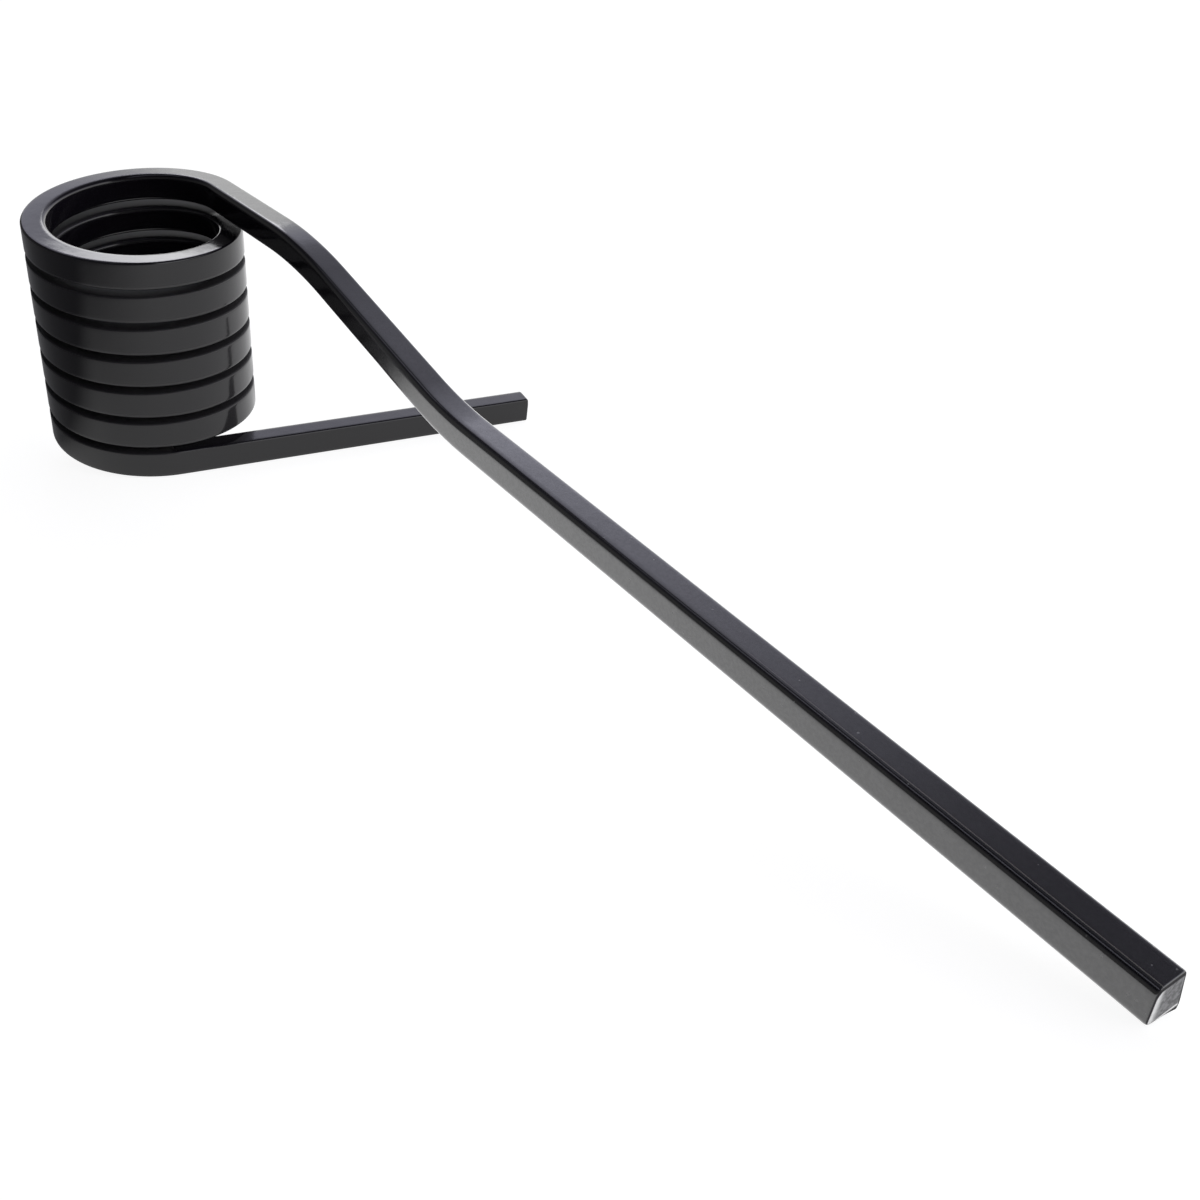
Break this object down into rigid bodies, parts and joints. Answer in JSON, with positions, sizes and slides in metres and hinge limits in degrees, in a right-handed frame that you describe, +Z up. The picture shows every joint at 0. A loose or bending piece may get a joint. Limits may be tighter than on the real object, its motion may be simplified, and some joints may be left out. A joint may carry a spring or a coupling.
{
  "type": "torsion spring",
  "caption": "Heavy left-hand torsion spring of black-coated square wire: open-wound coil, short straight bottom leg and a long top leg with a gentle joggle.",
  "frame": {"origin": "bottom centre of the box around the spring as it lies at rest", "axes": "+Z up from the surface it lies on, +X the way the long leg points, +Y to the side the short leg points"},
  "size_m": [0.5632, 0.2272, 0.13],
  "materials": {
    "black_coating": "semi-gloss"
  },
  "bodies": {
    "root": {"torsion_spring": "black_coating"}
  },
  "joints": []
}
